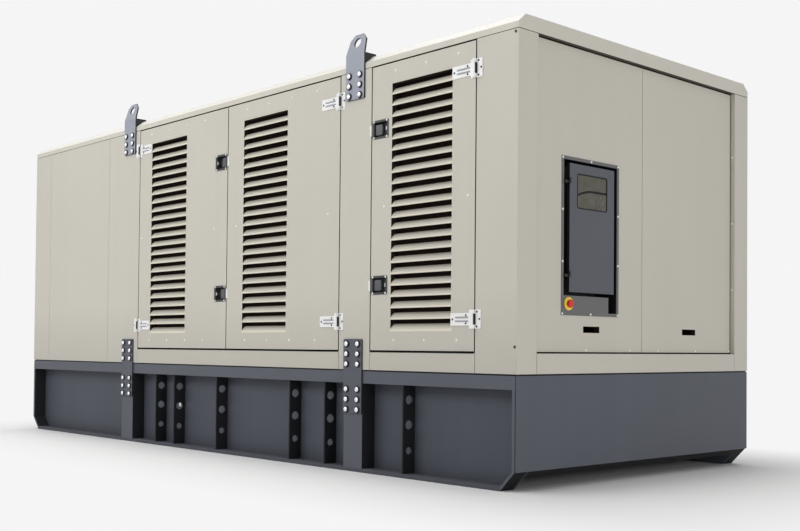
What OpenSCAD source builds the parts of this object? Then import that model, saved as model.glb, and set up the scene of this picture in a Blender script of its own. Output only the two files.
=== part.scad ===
// Sound-proof diesel generating set: a canopy of panels and louvred doors on a steel skid.
// The origin is the middle of the base. +X is the control end, -Y the near long side, +Z up.

/* [Overall] */
// Length over the skid and the canopy
unit_l = 5400; // [5200:10:5800]
// Width over the skid and the canopy
unit_w = 2100; // [1900:10:2300]
// Height of the seam under the roof
seam_z = 2250; // [2100:10:2400]

/* [Skid] */
// Height of the skid
skid_h = 562; // [500:1:600]
// Height of the rail along the top of each side beam
rail_h = 68; // [50:1:90]
// Depth of the bays in each side beam
bay_d = 92; // [60:1:120]
// Thickness of the web behind the bays
web_t = 10; // [6:1:16]
// Thickness of the flange under the bays
foot_t = 22; // [12:1:30]
// Width of the flange at each end of a side beam
end_flange_w = 28; // [20:1:40]
// Height of the sloped foot at each end
ramp_h = 98; // [60:1:130]
// Length of the sloped foot at each end
ramp_l = 95; // [60:1:130]
// Thickness of the end plates
end_plate_t = 10; // [6:1:14]
// How far the end plates stand back from the sides
end_plate_back = 3; // [1:0.5:6]
// Share of the sloped foot that the lip of an end plate covers
lip_share = 0.35; // [0.2:0.05:0.6]
// Thickness of the deck plate
deck_t = 8; // [5:1:12]
// Number of cross members under the deck
cross_count = 5; // [3:1:7]
// Height of a cross member
cross_h = 160; // [120:5:220]
// Flange width of a cross member
cross_w = 70; // [50:1:100]
// Plate thickness of a cross member
cross_t = 8; // [5:1:12]
// Distances of the gussets from the control end
gusset_from_end = [815, 1490, 1830, 2630, 3160, 3405];
// Thickness of a gusset
gusset_t = 10; // [6:1:14]
// How far a gusset stands back from the side
gusset_back = 6; // [2:1:12]
// Depths of the gusset holes under the rail
gusset_hole_depth = [79, 213, 351];
// Diameters of the gusset holes, from the top
gusset_hole_d = [50, 50, 40];

/* [Canopy] */
// Thickness of the seal between skid and canopy
seal_t = 8; // [4:1:10]
// How far the seal stands back from the sides
seal_back = 6; // [2:1:12]
// Width of the seal
seal_w = 40; // [25:1:50]
// Thickness of posts, sills, side panels and doors
wall_t = 50; // [40:1:60]
// Width of the open joints between panels
joint_w = 3; // [2:0.5:5]
// Depth of the open joints between panels
joint_d = 12; // [6:1:20]
// Width of a corner post on the long side
corner_l = 280; // [220:5:330]
// Width of a corner post on the end
corner_w = 145; // [110:5:180]
// Width of the post that carries the front lugs
front_post_w = 268; // [230:2:300]
// Width of the post that carries the rear lugs
rear_post_w = 453; // [400:2:500]
// Height of the sills under doors and end panels
sill_h = 101; // [80:1:140]
// Depth of the end panels behind the posts
end_recess = 28; // [15:1:40]
// Thickness of the end panels
end_panel_t = 40; // [30:1:50]
// Gap between the two panels of an end
panel_gap = 3; // [2:1:6]
// Height of the upright edge of the roof
roof_edge_h = 32; // [20:1:45]
// Height of the bevel along the roof's long edges
roof_bevel_h = 43; // [30:1:60]
// Width of the bevel along the roof's long edges
roof_bevel_w = 50; // [30:1:70]

/* [Doors] */
// Width of the bay of the rear door of the pair
door_1_w = 1147; // [1000:1:1250]
// Width of the bay of the front door of the pair
door_2_w = 1161; // [1000:1:1250]
// Width of the bay of the single door
door_3_w = 812; // [700:1:900]
// Gap round a door, and width of the open joint round the panels of an end
door_gap = 8; // [7:0.5:10]
// Width of a louvre
louvre_w = 473; // [400:1:520]
// Height of a louvre's lower edge above the canopy's foot
louvre_low = 211; // [180:1:300]
// Distance of a louvre's upper edge under the roof seam
louvre_high = 118; // [90:1:160]
// Shift of the louvres in the pair of doors, towards the rear
louvre_shift = 165; // [100:1:200]
// Aimed distance between louvre blades
blade_pitch = 61; // [50:1:80]
// Height of a blade's upright lip at the face
blade_lip = 8; // [5:1:12]
// Depth of a blade
blade_d = 40; // [34:1:44]
// Height of a blade
blade_h = 44; // [38:1:50]
// Radius of a blade's curved slope
blade_r = 70; // [50:1:120]
// Thickness of a blade
blade_t = 2.5; // [2:0.5:4]
// Thickness of a louvre's lining
lining_t = 3; // [2:0.5:5]

/* [Hinges and latches] */
// Distance of the hinge axis outside the door face
hinge_off = 14; // [13:0.5:16]
// Radius of a hinge barrel
barrel_r = 10; // [8:0.5:11]
// Radius of a hinge pin
hinge_pin_r = 5; // [4:0.5:5.5]
// Clearance round pins and between barrels
pin_gap = 0.5; // [0.4:0.1:1]
// Clearance round a latch's dish and the window
seat_gap = 0.3; // [0.2:0.1:0.5]
// Length of a hinge's middle knuckle
knuckle_h = 55; // [40:1:65]
// Plate thickness of the hinges
hinge_t = 5; // [3:0.5:6]
// Length of a hinge strap on the door
strap_l = 167; // [140:1:180]
// Width of a strap's tall head beside the axis
strap_head_w = 35; // [25:1:45]
// Height of a hinge strap on the door
strap_h = 64; // [50:1:70]
// Width of a hinge leaf on the post
leaf_w = 46; // [35:1:50]
// Height of a hinge leaf, a strap's head and a hinge barrel
leaf_h = 95; // [80:1:110]
// Depth of the upper hinges under the roof seam
hinge_top = 151; // [120:1:200]
// Height of the lower hinges above the canopy's foot
hinge_low = 270; // [240:1:320]
// Height of a paddle latch
latch_h = 104; // [90:1:120]
// Width of a paddle latch
latch_w = 134; // [120:1:150]
// Distance of a latch from the door's edge
latch_inset = 4; // [2:1:12]
// Depth of a latch's dish
latch_d = 26; // [18:1:34]
// How far a latch's rim stands out
latch_rim_t = 3; // [2:0.5:5]
// Width of a latch's rim
latch_rim_w = 12; // [8:1:16]
// Wall of a latch's dish
latch_wall = 2.5; // [2:0.5:4]
// Corner radius of a latch
latch_r = 10; // [7:1:14]
// Width of a latch's paddle
paddle_w = 50; // [40:1:60]
// Distance of a paddle from the wall of its dish
paddle_in = 6; // [4:1:10]
// Thickness of a paddle beside the keyhole
paddle_low = 14; // [8:1:16]
// Thickness of a paddle beside the door's edge
paddle_high = 20; // [12:1:22]
// Depth of the upper latches under the roof seam
latch_top = 358; // [320:1:420]
// Height of the lower latches above the canopy's foot
latch_low = 465; // [440:1:520]

/* [Lifting] */
// Distance of the lugs from the front edge of their posts
lug_inset = 136; // [110:1:150]
// Width of a lug and of a tie strap
lug_w = 160; // [130:1:180]
// Thickness of a lug
lug_t = 10; // [8:1:12]
// Depth of a lug's foot under the roof seam
lug_low = 162; // [130:1:190]
// Inward tilt of a lug above its bend, in degrees
lug_tilt = 15; // [8:1:30]
// Distance of the eye above the bend
eye_up = 68; // [60:1:80]
// Height of a lug's head above its bend
head_h = 120; // [112:1:140]
// Taper of a lug's head on each side
head_taper = 11; // [5:1:20]
// Size of the clipped corners of a lug's head
head_clip = 34; // [20:1:40]
// Radius of the eye
eye_r = 28; // [22:1:32]
// Length of a lug's bracket on the roof
bracket_l = 77; // [65:1:130]
// Plate thickness of a bracket
bracket_t = 20; // [8:1:30]
// Corner radius of a tie strap and of a lug's foot
tie_r = 10; // [5:1:20]
// Thickness of a tie strap
tie_t = 8; // [6:1:10]
// Height of a tie strap above the canopy's foot
tie_up = 171; // [150:1:210]
// Depth of a tie strap under the rail
tie_down = 169; // [130:1:190]

/* [Control panel] */
// Distance of the control frame from the near side
frame_from_side = 360; // [280:5:420]
// Width of the control frame
frame_w = 476; // [440:1:520]
// Height of the control frame
frame_h = 812; // [760:1:840]
// Height of the control frame above the canopy's foot
frame_low = 296; // [270:1:360]
// Width of the frame's flange
flange_w = 17; // [15:1:32]
// Thickness of the frame's flange
flange_t = 3; // [2:0.5:5]
// Depth of the control tray behind the panel face
tray_d = 150; // [110:5:200]
// Wall of the control tray
tray_t = 3; // [2:0.5:5]
// Thickness of the control door
panel_door_t = 20; // [14:1:28]
// How far the control door stands out of its frame
panel_door_out = 8; // [0:0.5:9]
// Gap over and under the control door
panel_door_gap = 18; // [8:1:24]
// Gap on each side of the control door
panel_door_side = 37; // [22:0.5:44]
// Height of the lower plate inside the control frame
plate_h = 84; // [75:1:100]
// Width of the cable notch beside the lower plate
notch_w = 72; // [40:1:90]
// Width of the window
window_w = 253; // [220:1:280]
// Height of the window
window_h = 182; // [150:1:200]
// Depth of the window's top under the door's top
window_top = 46; // [35:1:70]
// Corner radius of the window
window_r = 14; // [8:1:24]
// Thickness of the window
window_t = 5; // [3:0.5:8]
// Depth of the window behind the door's face
window_back = 3; // [1:0.5:8]
// Height of the control door's hinges under its top and above its foot
panel_hinge_in = 90; // [60:1:140]
// Distance of the stop button from the opening's near edge
stop_in = 39; // [35:1:60]
// Radius of the stop button's collar
stop_collar_r = 34; // [26:1:36]
// Thickness of the stop button's collar
stop_collar_t = 5; // [3:0.5:8]
// Radius of the stop button's head
stop_head_r = 21; // [17:0.5:24]
// Height of the stop button's head
stop_head_h = 13; // [10:0.5:13]
// Radius of the stop button's stem
stop_stem_r = 8; // [6:0.5:10]
// Travel of the stop button
stop_travel = 4; // [3:0.5:4]
// Width of a cable slot
slot_w = 136; // [100:1:160]
// Height of a cable slot
slot_h = 33; // [24:1:40]
// Height of the cable slots above the canopy's foot
slot_low = 209; // [180:1:260]
// Distances of the cable slots from the near side
slot_from_side = [540, 1440];

/* [Hidden] */
$fn = 64;

half_l = unit_l / 2;
half_w = unit_w / 2;
canopy_z = skid_h + seal_t;
beam_w = bay_d + web_t;
beam_end = half_l - end_plate_t;
bay_end = half_l - end_flange_w;
foot_end = beam_end - ramp_l;
bay_top = skid_h - rail_h;
roof_h = roof_edge_h + roof_bevel_h;
lug_bend = roof_h + bracket_t;

// Bays of the long side, from the control end to the rear
single_front = half_l - corner_l;
single_rear = single_front - door_3_w;
pair_front = single_rear - front_post_w;
pair_seam = pair_front - door_2_w;
pair_rear = pair_seam - door_1_w;
panel_front = pair_rear - rear_post_w;
panel_rear = -half_l + corner_l;
lug_x = [single_rear - lug_inset, pair_rear - lug_inset];

door_low = canopy_z + sill_h + door_gap;
door_high = seam_z - door_gap;
louvre_z = canopy_z + louvre_low;
louvre_h = seam_z - louvre_high - louvre_z;
louvre_x = [
  (pair_seam + pair_rear) / 2 - louvre_shift,
  (pair_front + pair_seam) / 2 - louvre_shift,
  (single_front + single_rear) / 2];
hinge_z = [canopy_z + hinge_low, seam_z - hinge_top];
latch_z = [canopy_z + latch_low, seam_z - latch_top];
// Hinge axis, and the way from it to the door, for each door
hinge_x = [pair_rear + door_gap / 2, pair_front - door_gap / 2, single_front - door_gap / 2];
hinge_way = [1, -1, -1];
// Latch edge, and the way from it into the door, for doors 1 and 3
latch_x = [pair_seam - door_gap / 2, single_rear + door_gap];
latch_way = [-1, 1];

end_face = half_l - end_recess;
end_inner = half_w - corner_w;
end_low = canopy_z + sill_h;
open_y = -half_w + frame_from_side + flange_w;
open_z = canopy_z + frame_low + flange_w;
open_w = frame_w - 2 * flange_w;
open_h = frame_h - 2 * flange_w;
frame_face = end_face + flange_t;
panel_door_face = frame_face + panel_door_out;
panel_door_w = open_w - 2 * panel_door_side;
panel_door_h = open_h - plate_h - 2 * panel_door_gap;
panel_door_y = open_y + panel_door_side;
door_open_z = open_z + plate_h;
panel_door_z = door_open_z + panel_door_gap;
panel_hinge_z = [panel_door_z + panel_hinge_in, panel_door_z + panel_door_h - panel_hinge_in];
// Small hinges of the control door
panel_axis_back = 6;
panel_axis_y = panel_door_y - panel_axis_back;
panel_hinge_off = 8;
panel_barrel_r = 6.5;
panel_barrel_h = 14;
panel_pin_r = 3.5;
panel_leaf_w = 13;
panel_leaf_t = 3;
panel_arm_t = 16;
stop_y = open_y + stop_in;
stop_z = open_z + plate_h / 2;
stop_gap = 2;

paint = "#c8c4b8";
shade = "#b7b3a9";
skid_grey = "#5a5d65";
zinc = "#d6d6d4";
black = "#1d1e20";

// A profile of X and Z, carried towards -Y
module along_y(h) rotate([90, 0, 0]) linear_extrude(h) children();
// A profile of Y and Z, carried towards +X
module along_x(h) rotate([90, 0, 90]) linear_extrude(h) children();
module both_sides() {
  children();
  mirror([0, 1, 0]) children();
}
module both_ends() {
  children();
  mirror([1, 0, 0]) children();
}
module rounded(w, h, r) {
  square([w - 2 * r, h], center = true);
  square([w, h - 2 * r], center = true);
  for (x = [-1, 1], y = [-1, 1])
    translate([x * (w / 2 - r), y * (h / 2 - r)]) circle(r);
}
// A slab of the near long wall between two places on X
module wall_slab(x_rear, x_front, z_low, z_high)
  translate([x_rear, -half_w, z_low]) cube([x_front - x_rear, wall_t, z_high - z_low]);
// A plan of a panel with its face at 0 and an open joint at each side
module joint_plan(low, high)
  polygon([
    [low, wall_t], [low, joint_d], [low + joint_w, joint_d], [low + joint_w, 0], [high - joint_w, 0],
    [high - joint_w, joint_d], [high, joint_d], [high, wall_t]]);
module wall_panel(x_rear, x_front, z_low, z_high)
  translate([0, -half_w, z_low]) linear_extrude(z_high - z_low) joint_plan(x_rear, x_front);
// The open joint under the roof, along the near side and both ends
module roof_joint() {
  translate([-half_l - 1, -half_w - 1, seam_z - joint_w]) cube([unit_l + 2, joint_d + 1, joint_w + 1]);
  both_ends() translate([half_l - joint_d, -half_w - 1, seam_z - joint_w])
    cube([joint_d + 1, unit_w + 2, joint_w + 1]);
}

// Skid
// A plate of the near side beam, from the side inwards between two depths
module beam_plate(d_out, d_in)
  translate([0, -half_w + d_in, 0]) along_y(d_in - d_out) children();

module skid_rails()
  color(skid_grey) both_sides() beam_plate(0, beam_w)
    translate([-beam_end, bay_top]) square([2 * beam_end, rail_h]);

module skid_webs()
  color(skid_grey) both_sides() beam_plate(bay_d, beam_w)
    polygon([
      [-beam_end, bay_top], [beam_end, bay_top], [beam_end, ramp_h], [foot_end, 0], [-foot_end, 0],
      [-beam_end, ramp_h]]);

module skid_feet()
  color(skid_grey) both_sides() beam_plate(0, bay_d)
    translate([-foot_end, 0]) square([2 * foot_end, foot_t]);

module skid_toes()
  color(skid_grey) both_sides() both_ends() beam_plate(0, bay_d)
    polygon([
      [foot_end, 0], [beam_end, ramp_h], [beam_end, bay_top], [bay_end, bay_top], [bay_end, ramp_h],
      [foot_end, foot_t]]);

module skid_posts()
  color(skid_grey) both_sides() for (x = lug_x) beam_plate(0, bay_d)
    translate([x - lug_w / 2, foot_t]) square([lug_w, bay_top - foot_t]);

module gusset(from_end)
  translate([half_l - from_end - gusset_t, 0, 0]) along_x(gusset_t) difference() {
    translate([-half_w + gusset_back, foot_t]) square([bay_d - gusset_back, bay_top - foot_t]);
    for (i = [0 : len(gusset_hole_d) - 1])
      translate([-half_w + (bay_d + gusset_back) / 2, bay_top - gusset_hole_depth[i]])
        circle(d = gusset_hole_d[i]);
  }

module skid_gussets()
  color(skid_grey) both_sides() for (t = gusset_from_end) gusset(t);

module end_plate() {
  lip_l = ramp_l * lip_share;
  lip_h = ramp_h * lip_share;
  color(skid_grey) {
    translate([half_l - end_plate_t, -half_w + end_plate_back, ramp_h])
      cube([end_plate_t, unit_w - 2 * end_plate_back, skid_h - ramp_h]);
    translate([0, half_w - beam_w, 0]) along_y(unit_w - 2 * beam_w)
      polygon([
        [half_l, ramp_h], [half_l, ramp_h + end_plate_t], [half_l - end_plate_t, ramp_h + end_plate_t],
        [half_l - lip_l - end_plate_t, ramp_h - lip_h], [half_l - lip_l, ramp_h - lip_h]]);
  }
}

module skid_cross_members()
  color(skid_grey) for (i = [1 : cross_count])
    translate([-beam_end + i * 2 * beam_end / (cross_count + 1) - cross_w / 2, half_w - beam_w,
        skid_h - deck_t - cross_h])
      along_y(unit_w - 2 * beam_w) difference() {
        square([cross_w, cross_h]);
        translate([cross_t, cross_t]) square([cross_w, cross_h - 2 * cross_t]);
      }

module skid_deck()
  color(skid_grey) translate([-beam_end, -half_w + beam_w, skid_h - deck_t])
    cube([2 * beam_end, unit_w - 2 * beam_w, deck_t]);

// Canopy
module canopy_seal()
  color(black) translate([0, 0, skid_h]) linear_extrude(seal_t) difference() {
    square([unit_l - 2 * seal_back, unit_w - 2 * seal_back], center = true);
    square([unit_l - 2 * (seal_back + seal_w), unit_w - 2 * (seal_back + seal_w)], center = true);
  }

module corner_posts()
  color(paint) both_sides() difference() {
    both_ends() translate([0, 0, canopy_z]) linear_extrude(seam_z - canopy_z)
      polygon([
        [half_l, -half_w], [half_l, -half_w + corner_w], [half_l - wall_t, -half_w + corner_w],
        [half_l - wall_t, -half_w + wall_t], [half_l - corner_l, -half_w + wall_t],
        [half_l - corner_l, -half_w]]);
    roof_joint();
  }

module lug_posts()
  color(paint) both_sides() difference() {
    union() {
      wall_slab(pair_front, single_rear, canopy_z, seam_z);
      wall_slab(panel_front, pair_rear, canopy_z, seam_z);
    }
    roof_joint();
  }

module side_sills()
  color(paint) both_sides() {
    wall_panel(single_rear, single_front, canopy_z, canopy_z + sill_h);
    wall_panel(pair_rear, pair_front, canopy_z, canopy_z + sill_h);
  }

module side_panels()
  color(paint) both_sides() difference() {
    wall_panel(panel_rear, panel_front, canopy_z, seam_z);
    roof_joint();
  }

module end_panel(y_low, y_high)
  translate([end_face - end_panel_t, y_low, end_low])
    cube([end_panel_t, y_high - y_low, seam_z - end_low]);

// The open joint round the panels of the control end
module end_joint()
  translate([end_face - joint_d, 0, 0]) difference() {
    translate([0, -end_inner - 1, end_low - 1])
      cube([joint_d + 1, 2 * end_inner + 2, seam_z - end_low + 2]);
    translate([-1, -end_inner + door_gap, end_low + door_gap])
      cube([joint_d + 3, 2 * (end_inner - door_gap), seam_z - end_low - 2 * door_gap]);
  }

module cable_slot(y)
  translate([end_face - end_panel_t - 1, y, canopy_z + slot_low])
    cube([end_panel_t + 2, slot_w, slot_h]);

module front_panels()
  color(shade) difference() {
    union() {
      end_panel(-end_inner, -panel_gap / 2);
      end_panel(panel_gap / 2, end_inner);
    }
    translate([end_face - end_panel_t - 1, open_y - tray_t, open_z - tray_t])
      cube([end_panel_t + 2, open_w + 2 * tray_t, open_h + 2 * tray_t]);
    for (y = slot_from_side) cable_slot(-half_w + y);
    end_joint();
  }

module end_sills()
  color(shade) both_ends() translate([half_l, 0, canopy_z]) rotate([0, 0, 90])
    linear_extrude(sill_h) joint_plan(-end_inner, end_inner);

module roof()
  color(paint) translate([-half_l, 0, seam_z]) along_x(unit_l)
    polygon([
      [-half_w, 0], [half_w, 0], [half_w, roof_edge_h], [half_w - roof_bevel_w, roof_h],
      [-half_w + roof_bevel_w, roof_h], [-half_w, roof_edge_h]]);

// Louvres: a lined opening with a row of blades
module louvre_cut(depth)
  translate([-louvre_w / 2, -1, 0]) cube([louvre_w, depth + 2, louvre_h]);

// A blade has a lip at the face, and a slope that bends inwards and up from the top of the lip
module blade() {
  lip_top = [0, blade_lip];
  chord = [blade_d, blade_h] - lip_top;
  sink = sqrt(blade_r * blade_r / (chord * chord) - 1 / 4);
  centre = lip_top + chord / 2 + sink * [chord[1], -chord[0]];
  along_x(louvre_w - 2 * lining_t) {
    square([blade_t, blade_lip]);
    intersection() {
      translate(centre) difference() {
        circle(blade_r);
        circle(blade_r - blade_t);
      }
      square([blade_d, blade_h]);
    }
  }
}

module louvre() {
  inner_h = louvre_h - 2 * lining_t;
  count = round(inner_h / blade_pitch);
  pitch = inner_h / count;
  color(paint) {
    difference() {
      translate([-louvre_w / 2, 0, 0]) cube([louvre_w, wall_t, louvre_h]);
      translate([-louvre_w / 2 + lining_t, -1, lining_t])
        cube([louvre_w - 2 * lining_t, wall_t + 2, inner_h]);
    }
    for (i = [0 : count - 1])
      translate([-louvre_w / 2 + lining_t, 0, lining_t + i * pitch]) blade();
  }
}

module rear_place(way)
  translate([-end_face, way * end_inner / 2, louvre_z]) rotate([0, 0, -90]) children();

module rear_panels()
  color(shade) for (way = [-1, 1]) difference() {
    mirror([1, 0, 0])
      end_panel(way < 0 ? -end_inner : panel_gap / 2, way < 0 ? -panel_gap / 2 : end_inner);
    rear_place(way) louvre_cut(end_panel_t);
    mirror([1, 0, 0]) end_joint();
  }

module rear_louvres() for (way = [-1, 1]) rear_place(way) louvre();

// Doors
module louvre_place(i) translate([louvre_x[i], -half_w, louvre_z]) children();

module latch_place(i, z)
  translate([latch_x[i], -half_w, z]) mirror([latch_way[i] < 0 ? 1 : 0, 0, 0])
    translate([latch_inset + latch_w / 2, 0, 0]) children();

module latch_dish()
  translate([0, latch_d, 0]) along_y(latch_d + 1)
    rounded(latch_w - 2 * latch_rim_w + 2 * seat_gap, latch_h - 2 * latch_rim_w + 2 * seat_gap,
      latch_r - latch_wall + seat_gap);

module door_leaf(x_rear, x_front) wall_slab(x_rear, x_front, door_low, door_high);

module door_1()
  color(paint) difference() {
    door_leaf(pair_rear + door_gap, pair_seam - door_gap / 2);
    louvre_place(0) louvre_cut(wall_t);
    for (z = latch_z) latch_place(0, z) latch_dish();
  }

module door_2()
  color(paint) difference() {
    door_leaf(pair_seam + door_gap / 2, pair_front - door_gap);
    louvre_place(1) louvre_cut(wall_t);
  }

module door_3()
  color(paint) difference() {
    door_leaf(single_rear + door_gap, single_front - door_gap);
    louvre_place(2) louvre_cut(wall_t);
    for (z = latch_z) latch_place(1, z) latch_dish();
  }

// A latch is a rim and a dish with a paddle beside the door's edge
module latch() {
  dish_w = latch_w - 2 * latch_rim_w;
  dish_h = latch_h - 2 * latch_rim_w;
  paddle_h = dish_h - 2 * latch_r;
  color(black) {
    difference() {
      union() {
        along_y(latch_rim_t) rounded(latch_w, latch_h, latch_r);
        translate([0, latch_d, 0]) along_y(latch_d) rounded(dish_w, dish_h, latch_r - latch_wall);
      }
      translate([0, latch_d - latch_wall, 0]) along_y(latch_d + latch_rim_t)
        rounded(dish_w - 2 * latch_wall, dish_h - 2 * latch_wall, latch_r - 2 * latch_wall);
    }
    translate([-dish_w / 2 + latch_wall + paddle_in, latch_d - latch_wall, -paddle_h / 2])
      linear_extrude(paddle_h) polygon([
        [0, latch_wall / 2], [paddle_w, latch_wall / 2], [paddle_w, -paddle_low], [0, -paddle_high]]);
  }
}

// Hinges, with the door towards +X of the axis
module hinge_place(i, z)
  translate([hinge_x[i], -half_w, z]) mirror([hinge_way[i] < 0 ? 1 : 0, 0, 0]) children();

module barrel(h, r) translate([0, -hinge_off, -h / 2]) cylinder(h = h, r = r);

module hinge_leaf() {
  root = barrel_r + 2;
  end_h = (leaf_h - knuckle_h) / 2;
  color(zinc) {
    translate([-leaf_w, -hinge_t, -leaf_h / 2]) cube([leaf_w - root, hinge_t, leaf_h]);
    for (way = [-1, 1]) translate([0, 0, way * (leaf_h - end_h) / 2]) {
      barrel(end_h, barrel_r);
      translate([-root, -hinge_t, -end_h / 2]) cube([root, hinge_t, end_h]);
    }
    barrel(leaf_h, hinge_pin_r);
  }
}

module hinge_strap() {
  root = barrel_r + 2;
  h = knuckle_h - 2 * pin_gap;
  color(zinc) difference() {
    union() {
      translate([root, -hinge_t, -strap_h / 2]) cube([strap_l - root, hinge_t, strap_h]);
      translate([root, -hinge_t, -leaf_h / 2]) cube([strap_head_w - root, hinge_t, leaf_h]);
      barrel(h, barrel_r);
      translate([0, -hinge_t, -h / 2]) cube([root, hinge_t, h]);
    }
    barrel(leaf_h, hinge_pin_r + pin_gap);
  }
}

module hinge_leaves()
  both_sides() for (i = [0 : 2], z = hinge_z) hinge_place(i, z) hinge_leaf();

module straps(i) for (z = hinge_z) hinge_place(i, z) hinge_strap();

module latches(i) for (z = latch_z) latch_place(i, z) latch();

// Lifting lugs and ties
// What is cut from the corners of a lug's foot
module foot_cuts()
  for (way = [0, 1]) mirror([way, 0]) difference() {
    translate([lug_w / 2 - tie_r, -1]) square([tie_r + 1, tie_r + 1]);
    translate([lug_w / 2 - tie_r, tie_r]) circle(tie_r);
  }

// What is cut from a lug's head: the sides outside its outline, and the eye
module head_cuts() {
  shoulder = lug_w / 2 - head_taper;
  for (way = [0, 1]) mirror([way, 0])
    polygon([
      [lug_w / 2, 0], [lug_w, 0], [lug_w, 2 * head_h], [shoulder - head_clip, 2 * head_h],
      [shoulder - head_clip, head_h], [shoulder, head_h - head_clip]]);
  translate([0, eye_up]) circle(eye_r);
}

module lug() {
  bend = [0, lug_bend];
  up = [sin(lug_tilt), cos(lug_tilt)];
  out = [-cos(lug_tilt), sin(lug_tilt)];
  color("#a3a8b0") difference() {
    translate([-lug_w / 2, 0, 0]) along_x(lug_w)
      polygon([
        [0, -lug_low], bend, bend + head_h * up, bend + head_h * up + lug_t * out,
        bend + lug_t * [-1, tan(lug_tilt / 2)], [-lug_t, -lug_low]]);
    translate([0, 1, -lug_low]) along_y(lug_t + 2) foot_cuts();
    translate([0, 0, lug_bend]) rotate([-lug_tilt, 0, 0]) translate([0, 1, 0])
      along_y(lug_t + 2) head_cuts();
  }
}

module lug_place(i) translate([lug_x[i], -half_w, seam_z]) children();

// A bracket fills the roof's bevel behind a lug and lies on the roof
module lug_brackets()
  color(black) both_sides() for (i = [0, 1])
    lug_place(i) translate([-lug_w / 2, 0, 0]) along_x(lug_w)
      polygon([
        [0, roof_edge_h], [0, lug_bend], [bracket_l, lug_bend], [bracket_l, roof_h], [roof_bevel_w, roof_h]]);

module tie_straps() {
  strap_low = bay_top - tie_down;
  strap_high = canopy_z + tie_up;
  color(skid_grey) both_sides() for (x = lug_x)
    translate([x, -half_w, (strap_low + strap_high) / 2]) along_y(tie_t)
      rounded(lug_w, strap_high - strap_low, tie_r);
}

// Control panel on the control end
module control_frame()
  color("#8c8c8a") difference() {
    translate([end_face, open_y - flange_w, open_z - flange_w]) cube([flange_t, frame_w, frame_h]);
    translate([end_face - 1, open_y, door_open_z])
      cube([flange_t + 2, open_w, open_z + open_h - door_open_z]);
    translate([end_face - 1, open_y + open_w - notch_w, open_z])
      cube([flange_t + 2, notch_w, open_h]);
    stop_place() translate([0, 0, -flange_t - 1])
      cylinder(h = flange_t + 2, r = stop_stem_r + pin_gap);
  }

module control_tray()
  color("#77787c") difference() {
    translate([end_face - tray_d, open_y - tray_t, open_z - tray_t])
      cube([tray_d, open_w + 2 * tray_t, open_h + 2 * tray_t]);
    translate([end_face - tray_d + tray_t, open_y, open_z]) cube([tray_d, open_w, open_h]);
  }

module panel_barrel(z, h, r)
  translate([panel_door_face + panel_hinge_off, panel_axis_y, z]) cylinder(h = h, r = r);

// The fixed halves of the control door's hinges: an arm from the tray, a barrel and a pin
module control_hinges()
  color(black) for (z = panel_hinge_z) {
    panel_barrel(z - panel_barrel_h, panel_barrel_h, panel_barrel_r);
    panel_barrel(z - panel_barrel_h, 2 * panel_barrel_h, panel_pin_r);
    translate([end_face - panel_arm_t, open_y, z - panel_barrel_h])
      cube([
        panel_door_face + panel_leaf_t - end_face + panel_arm_t, panel_axis_y - open_y, panel_barrel_h]);
  }

// The moving halves, on the face of the control door
module control_knuckles()
  color(black) for (z = panel_hinge_z) difference() {
    union() {
      panel_barrel(z + pin_gap, panel_barrel_h, panel_barrel_r);
      translate([panel_door_face, panel_axis_y, z + pin_gap])
        cube([panel_leaf_t, panel_leaf_w, panel_barrel_h]);
    }
    panel_barrel(z - 1, panel_barrel_h + 3, panel_pin_r + pin_gap);
  }

module window_place(depth)
  translate([panel_door_face - depth, panel_door_y + panel_door_w / 2,
    panel_door_z + panel_door_h - window_top - window_h / 2]) children();

module control_door()
  color("#5c5e66") difference() {
    translate([panel_door_face - panel_door_t, panel_door_y, panel_door_z])
      cube([panel_door_t, panel_door_w, panel_door_h]);
    window_place(panel_door_t + 1) along_x(panel_door_t + 2) rounded(window_w, window_h, window_r);
  }

module control_window()
  color("#2c3a38") window_place(window_back + window_t) along_x(window_t)
    rounded(window_w - 2 * seat_gap, window_h - 2 * seat_gap, window_r - seat_gap);

module stop_place() translate([frame_face, stop_y, stop_z]) rotate([0, 90, 0]) children();

module stop_collar()
  color("#fadc5a") stop_place() difference() {
    cylinder(h = stop_collar_t, r = stop_collar_r);
    translate([0, 0, -1]) cylinder(h = stop_collar_t + 2, r = stop_stem_r + pin_gap);
  }

module stop_button()
  color("#e13228") stop_place() {
    translate([0, 0, -flange_t - stop_travel])
      cylinder(h = flange_t + 2 * stop_travel + stop_collar_t + stop_gap + 1, r = stop_stem_r);
    translate([0, 0, stop_collar_t + stop_travel + stop_gap]) cylinder(h = stop_head_h, r = stop_head_r);
  }

skid_rails();
skid_webs();
skid_feet();
skid_toes();
skid_posts();
skid_gussets();
end_plate();  // skid_end_front
mirror([1, 0, 0]) end_plate();  // skid_end_rear
skid_cross_members();
skid_deck();
canopy_seal();
corner_posts();
lug_posts();
side_sills();
side_panels();
front_panels();
end_sills();
rear_panels();
rear_louvres();
roof();
lug_place(0) lug();  // lug_front_near
mirror([0, 1, 0]) lug_place(0) lug();  // lug_front_far
lug_place(1) lug();  // lug_rear_near
mirror([0, 1, 0]) lug_place(1) lug();  // lug_rear_far
lug_brackets();
tie_straps();
hinge_leaves();
control_frame();
control_tray();
control_hinges();
control_knuckles();
stop_collar();
stop_button();
control_door();
control_window();
door_1();
louvre_place(0) louvre();  // louvre_1
straps(0);  // straps_1
latches(0);  // latches_1
door_2();
louvre_place(1) louvre();  // louvre_2
straps(1);  // straps_2
door_3();
louvre_place(2) louvre();  // louvre_3
straps(2);  // straps_3
latches(1);  // latches_3
mirror([0, 1, 0]) { door_1(); door_2(); door_3(); }  // doors_far
mirror([0, 1, 0]) for (i = [0 : 2]) louvre_place(i) louvre();  // louvres_far
mirror([0, 1, 0]) for (i = [0 : 2]) straps(i);  // straps_far
mirror([0, 1, 0]) for (i = [0, 1]) latches(i);  // latches_far
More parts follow.
